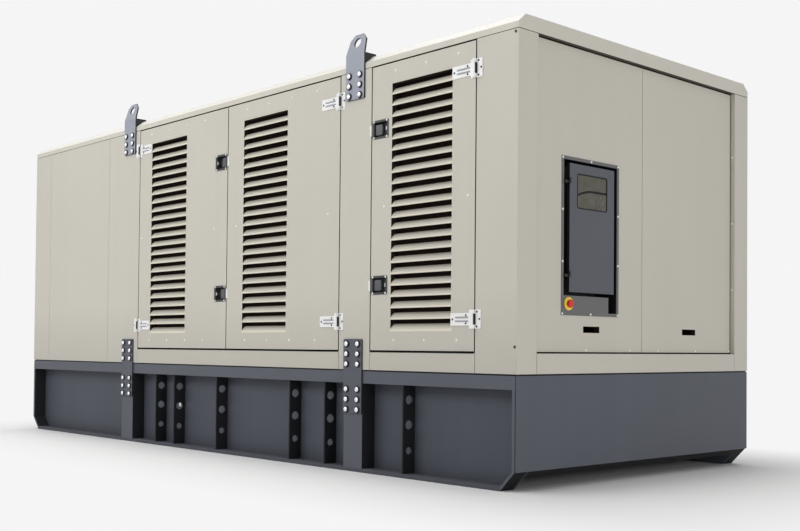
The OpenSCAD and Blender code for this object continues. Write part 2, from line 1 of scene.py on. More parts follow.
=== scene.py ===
"""Looks of a canopied diesel generating set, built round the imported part.

Metres, +Z up, +X the control end, -Y the near long side. Places come from the boxes of the part's nodes.
"""

import math

import bmesh
import bpy
import numpy as np
from mathutils import Matrix, Vector


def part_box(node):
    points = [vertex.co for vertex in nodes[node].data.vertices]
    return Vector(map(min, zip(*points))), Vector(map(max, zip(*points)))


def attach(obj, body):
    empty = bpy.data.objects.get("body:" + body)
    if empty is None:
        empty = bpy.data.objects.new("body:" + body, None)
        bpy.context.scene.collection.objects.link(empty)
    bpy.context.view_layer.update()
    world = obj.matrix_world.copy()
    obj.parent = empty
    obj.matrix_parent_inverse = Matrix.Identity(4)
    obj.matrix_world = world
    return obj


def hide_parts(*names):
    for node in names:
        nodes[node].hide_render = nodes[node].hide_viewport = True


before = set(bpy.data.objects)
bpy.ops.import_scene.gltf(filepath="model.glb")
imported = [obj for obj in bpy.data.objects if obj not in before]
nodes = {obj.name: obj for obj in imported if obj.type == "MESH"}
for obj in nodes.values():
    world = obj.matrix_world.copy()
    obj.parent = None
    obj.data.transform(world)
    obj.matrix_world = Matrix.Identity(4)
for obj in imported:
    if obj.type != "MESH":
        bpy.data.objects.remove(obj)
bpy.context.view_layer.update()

X_AXIS = np.array([1.0, 0.0, 0.0])
Y_AXIS = np.array([0.0, 1.0, 0.0])
Z_AXIS = np.array([0.0, 0.0, 1.0])
MIRROR = np.array([1.0, -1.0, 1.0])
MERGE_DISTANCE = 1e-6
SHARP_ANGLE = math.radians(34)

# Sizes shared with the part
BARREL_R = 0.010
LEAF_H = 0.095
HINGE_T = 0.005
LINING_T = 0.003
FLANGE_W = 0.017
SIDE_FACE = 1.05
WALL_T = 0.05
ROOF_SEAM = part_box("roof")[0].z
END_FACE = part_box("front_panels")[1].x
POST_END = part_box("corner_posts")[1].x
FRAME_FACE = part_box("control_frame")[1].x

# Doors with the way along X from the hinge axis to the door, or from the seam to the latch
HINGE_WAYS = ((1, 1), (2, -1), (3, -1))
LATCH_WAYS = ((1, -1), (3, 1))

# Nuts: columns either side of the middle, heights over a lug's foot and depths under a tie strap's top
NUT_COLUMN_LUG, NUT_COLUMN_TIE = 0.046, 0.048
LUG_NUT_UP = (0.021, 0.078, 0.136)
TIE_NUT_DOWN = (0.028, 0.084, 0.1405, 0.2815, 0.3385, 0.3945)

# Hinges: along from the hinge axis, and up from the middle of a leaf
STRAP_SCREWS = ((0.057, 0.0205), (0.057, -0.0205), (0.152, 0.0))
LEAF_SCREWS = ((-0.020, 0.037), (-0.020, -0.037), (-0.038, 0.0))
RIB_FROM, RIB_TO, RIB_UP, RIB_END_POWER = 0.039, 0.136, 0.0095, 16

# Latches: along from the seam-side edge, and out of the door's face
LATCH_W, LATCH_H, LATCH_RIM, LATCH_R = 0.134, 0.104, 0.012, 0.010
LATCH_SCREW_IN, LATCH_SCREW_UP = 0.014, LATCH_H / 2 - 0.0075
DISH_FLOOR, DISH_BACK, RIM_OUT = -0.0235, -0.0258, 0.003
PADDLE_W, PADDLE_H, PADDLE_FROM = 0.051, 0.061, 0.0195
PADDLE_RISE, PADDLE_FALL = 0.0172, 0.0030
LOCK_W, LOCK_H, LOCK_FROM = 0.010, 0.024, 0.1135
STRIKER_W, STRIKER_H, STRIKER_FROM = 0.011, 0.060, 0.0145

# Rivets and plugs: places along the axes of the frame, with those of the doors by number
RIVET_TOP, RIVET_MIDDLE, RIVET_LOW = 2.197, 1.465, 0.734
ROW_RIVETS = {
    1: (-0.800, -0.561, -0.325, -0.099),
    2: (0.394, 0.632, 0.865, 1.115),
    3: (1.807, 2.047, 2.289),
}
EDGE_RIVETS = {1: (-0.924, 0.023), 2: (0.281, 1.228), 3: (1.720, 2.363)}
END_RIVETS_Y, END_RIVET_Z = (-0.485, -0.105, 0.155, 0.529, 0.890), 0.688
REVEAL_RIVETS_Z, REVEAL_BACK = (1.863, 1.461, 1.060), 0.019
POST_PLUGS = ((2.681, 2.233), (2.686, 0.702))
DRAIN_PLUG = (-0.500, 0.287)

# Seals and foam
SEAL_H, SEAL_OUT = 0.0035, 0.0015
BEAD_R, BEAD_CORNER, BEAD_STEPS = 0.0032, 0.0137, 9
FOAM_DEPTH, FOAM_WAVE, FOAM_PITCH, FOAM_STEP, FOAM_T = 0.0445, 0.0012, 0.036, 0.009, 0.003


# Shapes


def turned(profile, around=24, hexagons=()):
    """A profile turned about the w axis: ring k has radius profile[k][0] and stands profile[k][1] out.

    A ring named in hexagons has that radius over the cosine of the angle from the nearest flat's middle.
    """
    radius, out = np.array(profile, float).T
    angle = np.linspace(0.0, 2 * np.pi, around, endpoint=False)
    corner = np.pi / 6
    flat = 1 / np.cos((angle + corner) % (2 * corner) - corner)
    is_hexagon = np.isin(np.arange(len(radius)), hexagons)[:, None]
    reach = radius[:, None] * np.where(is_hexagon, flat, 1.0)
    high = np.broadcast_to(out[:, None], reach.shape)
    return np.stack([reach * np.cos(angle), reach * np.sin(angle), high], axis=-1)


def nested(rings, corner_steps=6):
    """Rounded rectangles one inside another: ring k has width, height, corner radius and place out.

    Each corner is a quarter turn about a centre that lies one radius inside both edges.
    """
    width, height, radius, out = (column[:, None] for column in np.array(rings, float).T)
    quarter = np.linspace(0.0, np.pi / 2, corner_steps)
    angle = (np.arange(4)[:, None] * np.pi / 2 + quarter).ravel()
    side_u = np.repeat([1.0, -1.0, -1.0, 1.0], corner_steps)
    side_v = np.repeat([1.0, 1.0, -1.0, -1.0], corner_steps)
    u = side_u * (width / 2 - radius) + radius * np.cos(angle)
    v = side_v * (height / 2 - radius) + radius * np.sin(angle)
    return np.stack([u, v, np.broadcast_to(out, u.shape)], axis=-1)


def pressed_rib(length, half_width, height, rings=14, around=14):
    """A long bead: an ellipse carried along u, its size going to nothing at both ends as a round end does."""
    share = np.cos(np.linspace(np.pi, 0.0, rings))
    size = np.sqrt(np.clip(1 - np.abs(share) ** RIB_END_POWER, 0, 1))[:, None]
    angle = np.linspace(0.0, 2 * np.pi, around, endpoint=False)
    u = np.broadcast_to(share[:, None] * length / 2, (rings, around))
    return np.stack([u, size * half_width * np.cos(angle), size * height * np.sin(angle)], axis=-1)


def paddle_shape():
    """A crowned wedge: nested rounded rectangles whose height falls from the seam side to the lock side."""
    shape = nested([
        (0.0, 0.0, 0.0, 0.0),
        (PADDLE_W, PADDLE_H, 0.009, 0.0),
        (PADDLE_W, PADDLE_H, 0.009, 0.82),
        (PADDLE_W - 0.002, PADDLE_H - 0.002, 0.008, 0.93),
        (PADDLE_W - 0.007, PADDLE_H - 0.007, 0.006, 1.0),
        (PADDLE_W - 0.024, PADDLE_H - 0.024, 0.004, 1.03),
        (0.0, 0.0, 0.0, 1.04)])
    wedge = PADDLE_RISE - PADDLE_FALL * shape[..., 0] / (PADDLE_W / 2)
    shape[..., 2] = DISH_FLOOR + shape[..., 2] * wedge
    return shape


NUT_BODY = turned([
    (0.0, 0.0), (0.0205, 0.0), (0.0205, 0.0019), (0.0198, 0.0026), (0.0165, 0.0026), (0.0163, 0.0080),
    (0.0146, 0.0088), (0.0, 0.0090)], hexagons=(4, 5))
NUT_CAP = turned([
    (0.0, 0.0086), (0.0140, 0.0086), (0.0136, 0.0103), (0.0121, 0.0119), (0.0090, 0.0131), (0.0048, 0.0136),
    (0.0, 0.0137)])
RIVET = turned([
    (0.0, 0.0), (0.0062, 0.0), (0.0060, 0.0009), (0.0049, 0.0023), (0.0029, 0.0031), (0.0, 0.0033)],
    around=14)
SCREW = turned([
    (0.0, 0.0), (0.0056, 0.0), (0.0055, 0.0010), (0.0043, 0.0023), (0.0027, 0.0027), (0.0025, 0.0013),
    (0.0, 0.0012)], around=18)
PLUG = turned([
    (0.0, 0.0), (0.0078, 0.0), (0.0077, 0.0012), (0.0060, 0.0019), (0.0, 0.0022)], around=18)
LOCK = nested([
    (0.0, 0.0, 0.0, DISH_FLOOR),
    (LOCK_W, LOCK_H, 0.0045, DISH_FLOOR),
    (LOCK_W, LOCK_H, 0.0045, -0.0012),
    (LOCK_W - 0.0016, LOCK_H - 0.0016, 0.0037, 0.0),
    (0.0, 0.0, 0.0, 0.0006)])
DRAIN = turned([
    (0.0, 0.0), (0.0170, 0.0), (0.0170, 0.0040), (0.0150, 0.0050), (0.0125, 0.0050), (0.0120, 0.0150),
    (0.0105, 0.0162), (0.0, 0.0164)], around=24, hexagons=(4, 5, 6))
STOP_HEAD = turned([
    (0.0, 0.0110), (0.0172, 0.0110), (0.0198, 0.0124), (0.0207, 0.0155), (0.0205, 0.0190), (0.0188, 0.0221),
    (0.0130, 0.0236), (0.0, 0.0239)], around=48)
STOP_NECK = turned([
    (0.0, -0.0068), (0.0076, -0.0068), (0.0078, -0.0060), (0.0078, 0.0104), (0.0074, 0.0111), (0.0, 0.0111)],
    around=40)
STOP_RING = turned([
    (0.0090, 0.0050), (0.0150, 0.0050), (0.0152, 0.0056), (0.0146, 0.0062), (0.0090, 0.0062),
    (0.0090, 0.0050)], around=40)
LATCH_BODY = nested([
    (0.0, 0.0, 0.0, DISH_BACK),
    (LATCH_W - 2 * LATCH_RIM, LATCH_H - 2 * LATCH_RIM, 0.0075, DISH_BACK),
    (LATCH_W - 2 * LATCH_RIM, LATCH_H - 2 * LATCH_RIM, 0.0075, 0.0),
    (LATCH_W, LATCH_H, LATCH_R, 0.0),
    (LATCH_W, LATCH_H, LATCH_R, RIM_OUT - 0.0010),
    (LATCH_W - 0.0020, LATCH_H - 0.0020, LATCH_R - 0.0010, RIM_OUT),
    (LATCH_W - 2 * LATCH_RIM + 0.0024, LATCH_H - 2 * LATCH_RIM + 0.0024, 0.0086, RIM_OUT),
    (LATCH_W - 2 * LATCH_RIM, LATCH_H - 2 * LATCH_RIM, 0.0075, RIM_OUT - 0.0014),
    (LATCH_W - 2 * LATCH_RIM - 0.005, LATCH_H - 2 * LATCH_RIM - 0.005, 0.0055, DISH_FLOOR + 0.003),
    (LATCH_W - 2 * LATCH_RIM - 0.008, LATCH_H - 2 * LATCH_RIM - 0.008, 0.0040, DISH_FLOOR),
    (0.0, 0.0, 0.0, DISH_FLOOR)])
STRIKER = nested([
    (0.0, 0.0, 0.0, 0.0),
    (STRIKER_W, STRIKER_H, 0.003, 0.0),
    (STRIKER_W, STRIKER_H, 0.003, 0.0022),
    (STRIKER_W - 0.0016, STRIKER_H - 0.0016, 0.0022, 0.0030),
    (0.0, 0.0, 0.0, 0.0031)])
RIB = pressed_rib(RIB_TO - RIB_FROM, 0.0048, 0.0026)


# Pieces


def stamp(shape, places, rights, out):
    """Copies of a shape: a point (u, v, w) goes to place + u right + v up + w out, with up along Z.

    The grid closes round its second parameter, and all copies are worked out as one array.
    """
    rows, columns = shape.shape[:2]
    local = shape.reshape(1, -1, 3)
    points = (np.asarray(places)[:, None] + local[..., :1] * np.asarray(rights)[:, None]
              + local[..., 1:2] * Z_AXIS + local[..., 2:] * np.asarray(out))
    row, column = np.meshgrid(np.arange(rows - 1), np.arange(columns), indexing="ij")
    after = (column + 1) % columns
    quads = np.stack([row * columns + column, row * columns + after, (row + 1) * columns + after,
                      (row + 1) * columns + column], axis=-1).reshape(1, -1, 4)
    first = np.arange(len(places))[:, None, None] * rows * columns
    return points.reshape(-1, 3), (quads + first).reshape(-1, 4)


def piece(name, stamps, finish, body):
    """One joined mesh from arrays of points and quads, with doubles merged and faces turned outwards."""
    points, faces, count = [], [], 0
    for some_points, some_faces in stamps:
        points.append(some_points)
        faces.append(some_faces + count)
        count += len(some_points)
    mesh = bpy.data.meshes.new(name)
    mesh.from_pydata(np.concatenate(points).tolist(), [], np.concatenate(faces).tolist())
    work = bmesh.new()
    work.from_mesh(mesh)
    bmesh.ops.remove_doubles(work, verts=work.verts, dist=MERGE_DISTANCE)
    bmesh.ops.recalc_face_normals(work, faces=work.faces)
    work.to_mesh(mesh)
    work.free()
    mesh.shade_smooth()
    mesh.set_sharp_from_angle(angle=SHARP_ANGLE)
    mesh.materials.append(finish)
    made = bpy.data.objects.new(name, mesh)
    bpy.context.scene.collection.objects.link(made)
    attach(made, body)
    return made


def dress(kind, shape, spots, finish):
    """Copies on the near side ride on their own bodies, and mirror copies on the far side on the housing."""
    fixed = [stamp(shape, np.array(places) * MIRROR, rights, Y_AXIS) for _, places, rights in spots]
    made = {}
    for body in sorted({spot[0] for spot in spots}):
        near = [stamp(shape, np.array(places), rights, -Y_AXIS)
                for owner, places, rights in spots if owner == body]
        if body == "housing":
            fixed += near
        else:
            made[body] = piece(f"{kind}_{body}", near, finish, body)
    made["housing"] = piece(f"{kind}_fixed", fixed, finish, "housing")
    return made


def middle(node):
    """The middle of a node's box."""
    low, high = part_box(node)
    return (low + high) / 2


def hinge_axis(number, way):
    """The place along X of a door's hinge axis, with the door on the given side of it."""
    low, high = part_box(f"straps_{number}")
    return low.x + BARREL_R if way > 0 else high.x - BARREL_R


def hinge_spots(offsets, out):
    """Places at offsets from the hinge axes of each door, as (body, places, rights)."""
    spots = []
    for number, way in HINGE_WAYS:
        low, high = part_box(f"straps_{number}")
        axis = hinge_axis(number, way)
        heights = (low.z + LEAF_H / 2, high.z - LEAF_H / 2)
        places = [(axis + way * along, -SIDE_FACE - out, z + up) for z in heights for along, up in offsets]
        spots.append((f"door_{number}", places, [way * X_AXIS] * len(places)))
    return spots


def latch_spots(along, ups=(0.0,)):
    """Places at a distance from the seam-side edge of each latch, as (body, places, rights)."""
    spots = []
    for number, way in LATCH_WAYS:
        low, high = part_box(f"latches_{number}")
        edge = low.x if way > 0 else high.x
        heights = (low.z + LATCH_H / 2, high.z - LATCH_H / 2)
        places = [(edge + way * step, -SIDE_FACE, z + up) for z in heights for step in along for up in ups]
        spots.append((f"door_{number}", places, [way * X_AXIS] * len(places)))
    return spots


def add_nuts(cap_finish, body_finish):
    """Nuts with washers and bright caps, in two columns on each lug and each tie strap; the washers and
    flanks are dark as painted shade.
    """
    tie_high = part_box("tie_straps")[1]
    caps, bodies = [], []
    for way, side in ((-1, "near"), (1, "far")):
        for end in ("front", "rear"):
            low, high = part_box(f"lug_{end}_{side}")
            centre = (low.x + high.x) / 2
            lug_face = max(abs(low.y), abs(high.y))
            places = [(centre + turn * NUT_COLUMN_LUG, way * lug_face, low.z + up)
                      for turn in (-1, 1) for up in LUG_NUT_UP]
            places += [(centre + turn * NUT_COLUMN_TIE, way * tie_high.y, tie_high.z - down)
                       for turn in (-1, 1) for down in TIE_NUT_DOWN]
            caps.append(stamp(NUT_CAP, places, [X_AXIS] * len(places), way * Y_AXIS))
            bodies.append(stamp(NUT_BODY, places, [X_AXIS] * len(places), way * Y_AXIS))
    piece("nut_caps", caps, cap_finish, "housing")
    piece("nut_bodies", bodies, body_finish, "housing")


def add_rivets(finish):
    """Blind rivets round the edges of the doors, and on both ends, the reveals and the control frame."""
    spots = []
    for number in ROW_RIVETS:
        places = [(x, -SIDE_FACE, z) for x in ROW_RIVETS[number] for z in (RIVET_TOP, RIVET_LOW)]
        places += [(x, -SIDE_FACE, RIVET_MIDDLE) for x in EDGE_RIVETS[number]]
        spots.append((f"door_{number}", places, [X_AXIS] * len(places)))
    dress("door_rivets", RIVET, spots, finish)
    stamps = []
    for way in (-1, 1):
        places = [(way * END_FACE, y, END_RIVET_Z) for y in END_RIVETS_Y]
        stamps.append(stamp(RIVET, places, [Y_AXIS] * len(places), way * X_AXIS))
        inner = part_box("end_sills")[1].y
        places = [(POST_END - REVEAL_BACK, way * inner, z) for z in REVEAL_RIVETS_Z]
        stamps.append(stamp(RIVET, places, [X_AXIS] * len(places), -way * Y_AXIS))
    low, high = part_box("control_frame")
    inset = FLANGE_W / 2
    across = np.linspace(low.y + inset, high.y - inset, 3)
    upright = np.linspace(low.z + inset, high.z - inset, 4)
    places = [(FRAME_FACE, y, z) for y in across for z in (upright[0], upright[-1])]
    places += [(FRAME_FACE, y, z) for y in (across[0], across[-1]) for z in upright[1:-1]]
    stamps.append(stamp(RIVET, places, [Y_AXIS] * len(places), X_AXIS))
    piece("end_rivets", stamps, finish, "housing")


def add_hinge_details(screw_finish, rib_finish):
    """Screws and pressed ribs on the hinge straps, and screws on the hinge leaves."""
    dress("strap_screws", SCREW, hinge_spots(STRAP_SCREWS, HINGE_T), screw_finish)
    rib_middle = (RIB_FROM + RIB_TO) / 2
    ribs = hinge_spots(((rib_middle, RIB_UP), (rib_middle, -RIB_UP)), HINGE_T)
    dress("strap_ribs", RIB, ribs, rib_finish)
    leaves = [("housing", places, rights) for _, places, rights in hinge_spots(LEAF_SCREWS, HINGE_T)]
    dress("leaf_screws", SCREW, leaves, screw_finish)


def add_latches(body_finish, paddle_finish, bright_finish, lock_finish):
    """Paddle latches: a rimmed dish, a wedge paddle, a lock and four screws, and a striker over the seam."""
    bodies = dress("latch_bodies", LATCH_BODY, latch_spots((LATCH_W / 2,)), body_finish)
    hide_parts("latches_1")
    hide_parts("latches_3")
    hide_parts("latches_far")
    paddle_middle = PADDLE_FROM + PADDLE_W / 2
    dress("latch_paddles", paddle_shape(), latch_spots((paddle_middle,)), paddle_finish)
    dress("latch_locks", LOCK, latch_spots((LOCK_FROM,)), lock_finish)
    screws = []
    columns, rows = (LATCH_SCREW_IN, LATCH_W - LATCH_SCREW_IN), (LATCH_SCREW_UP, -LATCH_SCREW_UP)
    for body, places, rights in latch_spots(columns, rows):
        screws.append((body, [(x, y - RIM_OUT, z) for x, y, z in places], rights))
    dress("latch_screws", SCREW, screws, bright_finish)
    strikers = []
    for owner, (_, places, rights) in zip(("door_2", "housing"), latch_spots((-STRIKER_FROM,))):
        strikers.append((owner, places, rights))
    dress("latch_strikers", STRIKER, strikers, bright_finish)


def foam_sheet(name, low, high, facing, finish, body):
    """A waved sheet behind louvre blades: depth = a sine along the width times a sine along the height."""
    along = Y_AXIS if abs(facing[0]) > 0 else X_AXIS
    sheets = []
    for start, stop in zip(low, high):
        width = (stop - start) @ along - 2 * LINING_T
        height = stop[2] - start[2] - 2 * LINING_T
        across = np.linspace(0.0, width, int(width / FOAM_STEP))
        up = np.linspace(0.0, height, int(height / FOAM_STEP))
        s, t = np.meshgrid(across, up)
        wave = np.sin(2 * np.pi * s / FOAM_PITCH) * np.sin(2 * np.pi * t / FOAM_PITCH)
        corner = np.where(facing > 0, stop, start) * np.abs(facing)
        corner = corner + start @ along * along + start[2] * Z_AXIS + LINING_T * (along + Z_AXIS)
        points = corner + s[..., None] * along + t[..., None] * Z_AXIS
        points = points - (FOAM_DEPTH + FOAM_WAVE * wave[..., None]) * facing
        rows, columns = s.shape
        row, column = np.meshgrid(np.arange(rows - 1), np.arange(columns - 1), indexing="ij")
        first = row * columns + column
        quads = np.stack([first, first + 1, first + columns + 1, first + columns], axis=-1)
        sheets.append((points.reshape(-1, 3), quads.reshape(-1, 4)))
    made = piece(name, sheets, finish, body)
    thick = made.modifiers.new("thickness", "SOLIDIFY")
    thick.thickness = FOAM_T
    thick.offset = 0.0
    return made


def add_foam(finish):
    """Foam behind the blades of every louvre."""
    boxes = {number: [np.array(corner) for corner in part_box(f"louvre_{number}")] for number in (1, 2, 3)}
    for number, (low, high) in boxes.items():
        foam_sheet(f"louvre_foam_{number}", [low], [high], -Y_AXIS, finish, f"door_{number}")
    lows = [np.array([low[0], -high[1], low[2]]) for low, high in boxes.values()]
    highs = [np.array([high[0], -low[1], high[2]]) for low, high in boxes.values()]
    foam_sheet("louvre_foam_far", lows, highs, Y_AXIS, finish, "housing")
    low, high = (np.array(corner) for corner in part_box("rear_louvres"))
    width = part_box("louvre_1")[1].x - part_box("louvre_1")[0].x
    lows = [low, np.array([low[0], high[1] - width, low[2]])]
    highs = [np.array([high[0], low[1] + width, high[2]]), high]
    foam_sheet("louvre_foam_rear", lows, highs, -X_AXIS, finish, "housing")


def add_stop_button(red_finish, ring_finish):
    """A mushroom head on its black neck, over a black ring on the collar."""
    centre = middle("stop_button")
    place = [(FRAME_FACE, centre.y, centre.z)]
    mushroom = [stamp(STOP_HEAD, place, [Y_AXIS], X_AXIS)]
    head = piece("stop_head", mushroom, red_finish, "stop_button")
    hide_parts("stop_button")
    neck = [stamp(STOP_NECK, place, [Y_AXIS], X_AXIS)]
    piece("stop_neck", neck, ring_finish, "stop_button")
    ring = [stamp(STOP_RING, place, [Y_AXIS], X_AXIS)]
    piece("stop_ring", ring, ring_finish, "housing")


def add_window_gasket(finish):
    """A round bead carried along the rounded edge of the control door's window."""
    low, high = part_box("control_window")
    angle = np.linspace(0.0, 2 * np.pi, BEAD_STEPS)
    offset = BEAD_R * np.cos(angle) - BEAD_R
    width = high.y - low.y + 2 * offset
    height = high.z - low.z + 2 * offset
    bead = nested(np.stack([width, height, BEAD_CORNER + offset, BEAD_R * np.sin(angle)], axis=-1))
    place = [(high.x + BEAD_R / 2, (low.y + high.y) / 2, (low.z + high.z) / 2)]
    beads = [stamp(bead, place, [Y_AXIS], X_AXIS)]
    piece("window_gasket", beads, finish, "control_door")


def add_sill_shade_seals(finish):
    """A thin rubber edging along the top of the side sills' faces, under the doors, black also as painted
    shade for the gap there.
    """
    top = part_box("side_sills")[1].z
    for kind, first, last in (("pair", "door_1", "door_2"), ("single", "door_3", "door_3")):
        start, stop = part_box(first)[0].x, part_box(last)[1].x
        length = stop - start
        strip = nested([
            (0.0, 0.0, 0.0, 0.0),
            (length, SEAL_H, 0.0008, 0.0),
            (length, SEAL_H, 0.0008, SEAL_OUT * 0.6),
            (length - SEAL_OUT, SEAL_H - SEAL_OUT, 0.0004, SEAL_OUT),
            (0.0, 0.0, 0.0, SEAL_OUT)])
        places = [((start + stop) / 2, -SIDE_FACE, top - SEAL_H / 2)]
        dress(f"sill_seals_{kind}", strip, [("housing", places, [X_AXIS])], finish)


def add_plugs(finish, bright_finish):
    """Black plugs in the front corner posts, and a drain plug in the web of each side beam."""
    places = [(x, -SIDE_FACE, z) for x, z in POST_PLUGS]
    dress("post_plugs", PLUG, [("housing", places, [X_AXIS] * len(places))], finish)
    x, z = DRAIN_PLUG
    spots = [("housing", [(x, -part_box("skid_webs")[1].y, z)], [X_AXIS])]
    dress("drain_plugs", DRAIN, spots, bright_finish)


# Finishes

# Where masks begin and end
LOOKS_DOWN = -0.3
SQUARE_ON, EDGE_ON = 0.7, 0.5
SLOPE_LOW, SLOPE_HIGH = 0.2, 0.9
FACE_SKIN = 0.0015
CEILING_SKIN = 0.0036
FOOT_SHADE_H, FOOT_COVER = 0.42, 0.55
CORNER_REACH, CORNER_OPEN, CORNER_SHUT, CORNER_COVER = 0.08, 0.92, 0.55, 0.6
SPECK_SCALE, SPECK_LOW, SPECK_HIGH, SPECK_COVER, SPECK_BELOW = 95.0, 0.52, 0.66, 0.55, 0.012
LINE_R, LINE_DROOP, LINE_ASIDE, LINE_UP = 0.0058, 1.7, 0.01, 0.006
BLADE_FROM, BLADE_TO = 0.004, 0.036
KNUCKLE_PROUD, SLOT_FROM = 0.0006, 0.0078

# What all coats share
BROAD_DETAIL = 3.0
CORNER_SAMPLES, EDGE_SAMPLES = 6, 4
STREAK_STRETCH = (7.0, 7.0, 0.45)
LEVEL_LOW, LEVEL_HIGH = 0.25, 0.75
GRAIN_LOW, GRAIN_HIGH, GLOSS_CHANGE = 0.2, 0.8, 0.05
EDGE_START, EDGE_FULL = 0.998, 0.85
LAYER_CHANGE = 0.15
PEEL_DEPTH = 0.001


def linear(red, green, blue):
    """A colour of bytes as linear light, by the sRGB curve."""
    share = np.array([red, green, blue]) / 255
    value = np.where(share <= 0.04045, share / 12.92, ((share + 0.055) / 1.055) ** 2.4)
    return (*value.tolist(), 1.0)


def times(colour, factor):
    """A colour made lighter or darker."""
    return (*[min(1.0, channel * factor) for channel in colour[:3]], 1.0)


def add(tree, kind, inputs=None, **settings):
    """A node with its settings, and each input set or linked."""
    made = tree.nodes.new(kind)
    for key, value in settings.items():
        setattr(made, key, value)
    for key, value in (inputs or {}).items():
        if isinstance(value, bpy.types.NodeSocket):
            tree.links.new(value, made.inputs[key])
        else:
            made.inputs[key].default_value = value
    return made


def calc(tree, operation, first, second=None):
    """The result of a math node."""
    inputs = {0: first} if second is None else {0: first, 1: second}
    return add(tree, "ShaderNodeMath", inputs, operation=operation).outputs[0]


def below(tree, value, limit):
    """1 where a value is less than a limit."""
    return calc(tree, "LESS_THAN", value, limit)


def above(tree, value, limit):
    """1 where a value is more than a limit."""
    return calc(tree, "GREATER_THAN", value, limit)


def both(tree, first, second):
    """The product of two masks, which is 1 where both are."""
    return calc(tree, "MULTIPLY", first, second)


def spread(tree, value, low, high, to_low, to_high):
    """A value carried from one range to another, and held at its ends."""
    inputs = {"Value": value, "From Min": low, "From Max": high, "To Min": to_low, "To Max": to_high}
    return add(tree, "ShaderNodeMapRange", inputs).outputs[0]


def blend_colours(tree, factor, first, second):
    """One colour where the factor is 0 and another where it is 1."""
    return add(tree, "ShaderNodeMix", {0: factor, 6: first, 7: second}, data_type="RGBA").outputs[2]


def noise(tree, place, scale, detail=2.0):
    """Soft noise between 0 and 1."""
    return add(tree, "ShaderNodeTexNoise", {"Vector": place, "Scale": scale, "Detail": detail}).outputs[0]


def parts_of(tree, vector):
    """The sizes of a vector along X, Y and Z, without their signs along X and Y."""
    x, y, z = add(tree, "ShaderNodeSeparateXYZ", {0: vector}).outputs
    return calc(tree, "ABSOLUTE", x), calc(tree, "ABSOLUTE", y), z


def foam_lining_and_gap_shade(tree, coordinates):
    """1 on the faces that line the inside of the canopy, coloured as foam, and on the walls of the gaps
    between its panels, where the black is painted shade.
    """
    x, y, z = parts_of(tree, coordinates.outputs["Object"])
    across = parts_of(tree, coordinates.outputs["Normal"])[1]
    lining = below(tree, y, SIDE_FACE - WALL_T + FACE_SKIN)
    gap = both(tree, below(tree, y, SIDE_FACE - FACE_SKIN), below(tree, across, EDGE_ON))
    behind_sides = calc(tree, "MAXIMUM", lining, gap)
    behind_ends = both(tree, behind_sides, below(tree, x, END_FACE - FACE_SKIN))
    return both(tree, behind_ends, below(tree, z, ROOF_SEAM + FACE_SKIN))


def underside(tree, coordinates):
    """1 on the faces that look down."""
    return below(tree, parts_of(tree, coordinates.outputs["Normal"])[2], LOOKS_DOWN)


def sloping(tree, coordinates):
    """1 on the faces between level and upright that look up."""
    z = parts_of(tree, coordinates.outputs["Normal"])[2]
    return both(tree, above(tree, z, SLOPE_LOW), below(tree, z, SLOPE_HIGH))


def facing(axis):
    """1 on the faces that face along the given axis."""

    def mask(tree, coordinates):
        return above(tree, parts_of(tree, coordinates.outputs["Normal"])[axis], SQUARE_ON)

    return mask


def under(axis, face):
    """1 where a surface lies deeper than a thin skin under a face across the given axis."""

    def mask(tree, coordinates):
        return below(tree, parts_of(tree, coordinates.outputs["Object"])[axis], face - FACE_SKIN)

    return mask


def lining_top(axis, face):
    """1 on the ceiling of a louvre's lining, which gets painted shade."""
    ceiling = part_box("louvre_1")[1].z - CEILING_SKIN
    behind = under(axis, face)

    def mask(tree, coordinates):
        z = parts_of(tree, coordinates.outputs["Object"])[2]
        return both(tree, above(tree, z, ceiling), behind(tree, coordinates))

    return mask


def blade_depth_shade(axis, face):
    """Painted shade: from 0 at the front lip of a blade to 1 at its inner edge."""

    def mask(tree, coordinates):
        place = parts_of(tree, coordinates.outputs["Object"])[axis]
        return spread(tree, calc(tree, "SUBTRACT", face, place), BLADE_FROM, BLADE_TO, 0.0, 1.0)

    return mask


def lip_highlight(axis, face):
    """1 on the front of the lips of blades and on the front rim of their lining, where a painted highlight
    goes.
    """

    def mask(tree, coordinates):
        return above(tree, parts_of(tree, coordinates.outputs["Object"])[axis], face - FACE_SKIN / 2)

    return mask


def panel_edge_shade(tree, coordinates):
    """1 on the edges of the control door and of the opening for its window, behind the skin of its face,
    which get painted shade.
    """
    turned_away = below(tree, parts_of(tree, coordinates.outputs["Normal"])[0], EDGE_ON)
    behind = under(0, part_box("control_door")[1].x)
    return both(tree, turned_away, behind(tree, coordinates))


def toward_foot(tree, coordinates):
    """From 0 well above the foot of the canopy's long sides to a part cover at the foot."""
    z = parts_of(tree, coordinates.outputs["Object"])[2]
    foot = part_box("side_sills")[0].z
    shade = spread(tree, z, foot, foot + FOOT_SHADE_H, FOOT_COVER, 0.0)
    return both(tree, shade, facing(1)(tree, coordinates))


def corners(tree, coordinates):
    """Painted shade: from 0 on open faces to a part cover in inner corners, where other faces stand near."""
    around = add(tree, "ShaderNodeAmbientOcclusion", {"Distance": CORNER_REACH}, samples=CORNER_SAMPLES)
    return spread(tree, around.outputs["AO"], CORNER_OPEN, CORNER_SHUT, 0.0, CORNER_COVER)


def glass_specks(tree, coordinates):
    """Specks of light on the lower half of the window."""
    place = coordinates.outputs["Object"]
    z = parts_of(tree, place)[2]
    fine = noise(tree, place, SPECK_SCALE, BROAD_DETAIL)
    specks = spread(tree, fine, SPECK_LOW, SPECK_HIGH, 0.0, SPECK_COVER)
    return both(tree, specks, below(tree, z, middle("control_window").z - SPECK_BELOW))


